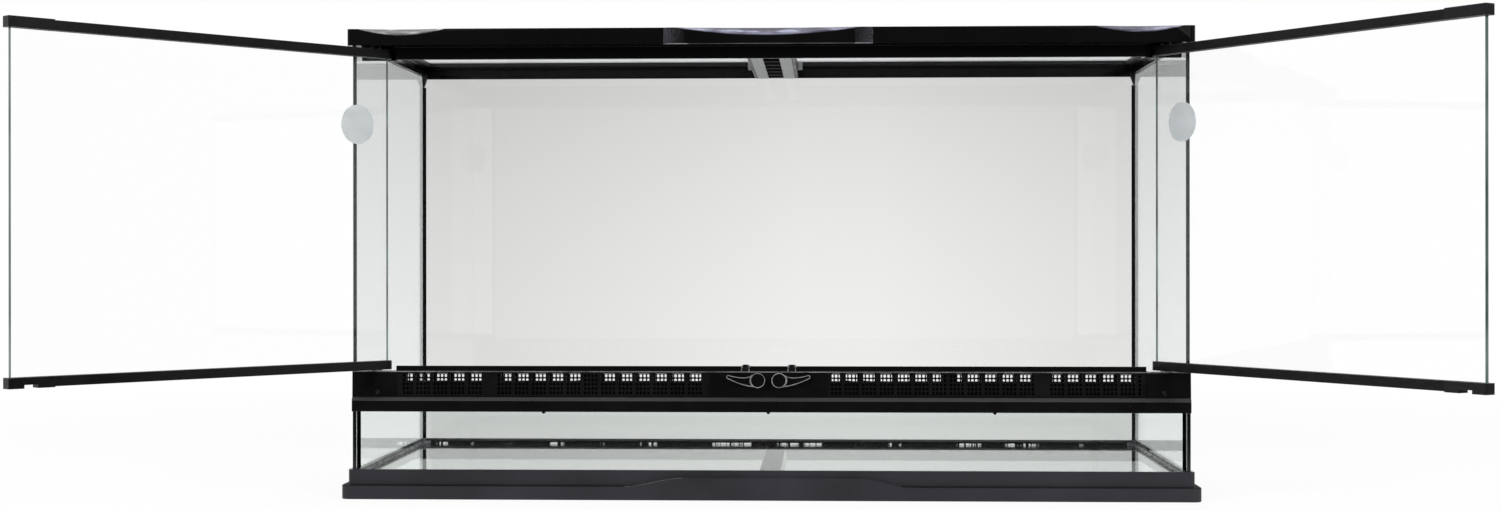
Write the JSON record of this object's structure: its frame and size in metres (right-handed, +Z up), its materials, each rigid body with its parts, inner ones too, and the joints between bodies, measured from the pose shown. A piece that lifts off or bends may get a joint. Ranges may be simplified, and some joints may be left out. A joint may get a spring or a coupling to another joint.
{
  "type": "reptile terrarium",
  "caption": "Glass reptile tank with two swinging front doors over a vent strip, turning latches, black base and rim, and lift-out mesh screens.",
  "frame": {"origin": "middle of the base frame's underside", "axes": "+X to the right along the front, +Y to the back, +Z up"},
  "size_m": [1.3631, 0.7356, 0.506],
  "materials": {
    "pane_glass": "clear float glass with a green cast in its edges",
    "silicone_black": "black silicone sealant, smooth",
    "base_charcoal": "fine-grained charcoal moulding",
    "rim_gloss_black": "glossy near-black moulding",
    "vent_black": "satin black moulding",
    "rail_black": "satin black extrusion",
    "latch_black": "satin gloss black moulding",
    "screen_black": "satin black moulding",
    "clip_grey": "mid-grey moulding",
    "strip_felt": "light grey short-napped felt",
    "disc_film": "plain pale grey film",
    "pin_steel": "plain bright steel",
    "mesh_steel": "woven steel wire",
    "spline_rubber": "black rubber cord"
  },
  "bodies": {
    "tank": {"base_frame": "base_charcoal", "floor_glass": "pane_glass", "back_glass": "pane_glass", "side_glass_left": "pane_glass", "side_glass_right": "pane_glass", "front_glass": "pane_glass", "silicone_back": "silicone_black", "silicone_floor": "silicone_black", "silicone_front": "silicone_black", "vent_strip": "vent_black", "vent_grille": "vent_black", "hinge_cover_left": "vent_black", "hinge_cover_right": "vent_black", "cover_screws": "pin_steel", "door_catches": "clip_grey", "bottom_bushes": "clip_grey", "top_bushes": "clip_grey", "top_frame": "rim_gloss_black", "corner_gussets": "rim_gloss_black", "centre_brace": "rim_gloss_black", "brace_strips": "strip_felt", "brace_clips": "clip_grey"},
    "left_door": {"left_door_glass": "pane_glass", "left_door_top_rail": "rail_black", "left_door_bottom_rail": "rail_black", "left_door_clips": "rail_black", "left_door_pins": "pin_steel", "left_door_disc": "disc_film"},
    "right_door": {"right_door_glass": "pane_glass", "right_door_top_rail": "rail_black", "right_door_bottom_rail": "rail_black", "right_door_clips": "rail_black", "right_door_pins": "pin_steel", "right_door_disc": "disc_film"},
    "latch_left": {"latch_knob_left": "latch_black", "latch_shaft_left": "pin_steel", "latch_washer_left": "pin_steel"},
    "latch_right": {"latch_knob_right": "latch_black", "latch_shaft_right": "pin_steel", "latch_washer_right": "pin_steel"},
    "screen_left": {"screen_frame_left": "screen_black", "screen_mesh_left": "mesh_steel", "screen_spline_left": "spline_rubber"},
    "screen_right": {"screen_frame_right": "screen_black", "screen_mesh_right": "mesh_steel", "screen_spline_right": "spline_rubber"}
  },
  "joints": [
    {"name": "left_door_hinge", "type": "hinge", "parent": "tank", "child": "left_door", "pos_m": [-0.424, -0.182, 0.3126], "axis": [0, 0, 1], "range_deg": [-18.7, 131.3]},
    {"name": "right_door_hinge", "type": "hinge", "parent": "tank", "child": "right_door", "pos_m": [0.424, -0.182, 0.3126], "axis": [0, 0, -1], "range_deg": [-27.3, 122.7]},
    {"name": "latch_left_turn", "type": "hinge", "parent": "tank", "child": "latch_left", "pos_m": [-0.0114, -0.187, 0.1284], "axis": [0, 1, 0], "range_deg": [0, 90]},
    {"name": "latch_right_turn", "type": "hinge", "parent": "tank", "child": "latch_right", "pos_m": [0.0114, -0.187, 0.1284], "axis": [0, -1, 0], "range_deg": [0, 90]},
    {"name": "screen_left_lift", "type": "slide", "parent": "tank", "child": "screen_left", "axis": [0, 0, 1], "range_m": [0, 0.12]},
    {"name": "screen_right_lift", "type": "slide", "parent": "tank", "child": "screen_right", "axis": [0, 0, 1], "range_m": [0, 0.12]}
  ]
}
